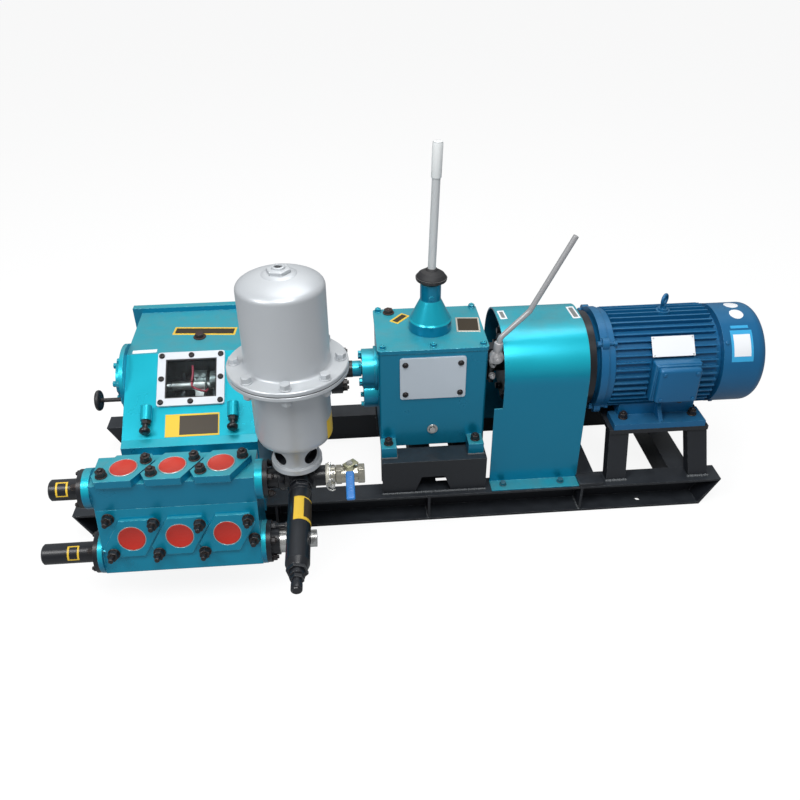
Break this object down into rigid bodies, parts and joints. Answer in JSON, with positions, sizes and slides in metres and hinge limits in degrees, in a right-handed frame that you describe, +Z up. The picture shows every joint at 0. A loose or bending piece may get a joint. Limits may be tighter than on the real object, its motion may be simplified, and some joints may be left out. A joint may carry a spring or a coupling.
{
  "type": "triplex plunger pump set",
  "caption": "Skid-mounted triplex plunger mud pump set: fluid end with air chamber and relief valve, crankcase, shift gearbox, guarded clutch drive and finned electric motor.",
  "frame": {"origin": "on the floor, midway between the four anchor holes in the lower flanges of the skid rails", "axes": "+X along the skid from the pump towards the motor, +Y from the fluid end towards the rear of the pump, +Z up"},
  "size_m": [1.713, 0.942, 0.9082],
  "materials": {
    "frame_paint": "satin black paint over welded steel",
    "teal_paint": "glossy teal paint over castings",
    "window_alloy": "machined aluminium",
    "window_pane": "clear pane",
    "bright_steel": "turned steel",
    "black_parts": "satin black",
    "black_knob": "matte black",
    "cap_plastic": "red moulded caps",
    "silver_paint": "silver-grey paint",
    "blue_grip": "dipped vinyl sleeve",
    "plate_alloy": "satin aluminium sheet",
    "lever_steel": "bright steel rod",
    "boot_rubber": "moulded rubber",
    "motor_paint": "blue paint over cast aluminium"
  },
  "bodies": {
    "pump_set": {"skid_rail_front": "frame_paint", "skid_rail_rear": "frame_paint", "skid_cross_members": "frame_paint", "gearbox_support": "frame_paint", "motor_stand": "frame_paint", "crankcase": "teal_paint", "crankcase_rear_cover": "teal_paint", "bearing_cover_left": "teal_paint", "bearing_cover_right": "teal_paint", "window_frame": "window_alloy", "window_glass": "window_pane", "crankshaft": "bright_steel", "swing_bolts": "black_parts", "fluid_block_upper": "teal_paint", "fluid_block_lower": "teal_paint", "plunger_housings": "teal_paint", "discharge_covers": "teal_paint", "discharge_caps": "cap_plastic", "suction_covers": "teal_paint", "suction_caps": "cap_plastic", "discharge_stub": "black_parts", "suction_stub": "black_parts", "discharge_flange": "black_parts", "suction_end_flange": "black_parts", "suction_plug": "bright_steel", "cross_fitting": "black_parts", "relief_valve": "black_parts", "air_chamber_foot": "silver_paint", "air_chamber_lower": "silver_paint", "air_chamber_upper": "silver_paint", "ball_valve": "bright_steel", "gearbox_housing": "teal_paint", "gearbox_cover": "teal_paint", "inspection_plate": "plate_alloy", "output_housing": "teal_paint", "shift_housing": "teal_paint", "clutch_drum": "black_parts", "clutch_bracket": "black_parts", "drive_guard": "teal_paint", "motor_frame": "motor_paint", "motor_end_shield": "motor_paint", "fan_cowl": "motor_paint", "terminal_box": "motor_paint", "motor_eye_bolt": "motor_paint"},
    "shift_lever": {"shift_lever": "lever_steel", "shift_boot": "boot_rubber"},
    "clutch_lever": {"clutch_lever": "lever_steel"},
    "ball_valve_handle": {"ball_valve_handle": "blue_grip"},
    "handwheel": {"handwheel": "black_knob"},
    "coupling": {"coupling_half": "teal_paint", "coupling_discs": "black_parts"}
  },
  "joints": [
    {"name": "shift_lever_hinge", "type": "hinge", "parent": "pump_set", "child": "shift_lever", "pos_m": [0.079, -0.031, 0.548], "axis": [0, 1, 0], "range_deg": [-10, 10]},
    {"name": "clutch_lever_hinge", "type": "hinge", "parent": "pump_set", "child": "clutch_lever", "pos_m": [0.226, -0.134, 0.429], "axis": [0, 1, 0], "range_deg": [-15, 0]},
    {"name": "outlet_valve_hinge", "type": "hinge", "parent": "pump_set", "child": "ball_valve_handle", "pos_m": [-0.1325, -0.401, 0.3375], "axis": [0, 0, 1], "range_deg": [0, 90]},
    {"name": "handwheel_hinge", "type": "hinge", "parent": "pump_set", "child": "handwheel", "pos_m": [-0.723, -0.1, 0.339], "axis": [-1, 0, 0], "range_deg": [-180, 180]},
    {"name": "drive_coupling_hinge", "type": "hinge", "parent": "pump_set", "child": "coupling", "pos_m": [-0.2, -0.031, 0.352], "axis": [1, 0, 0], "continuous": true}
  ]
}
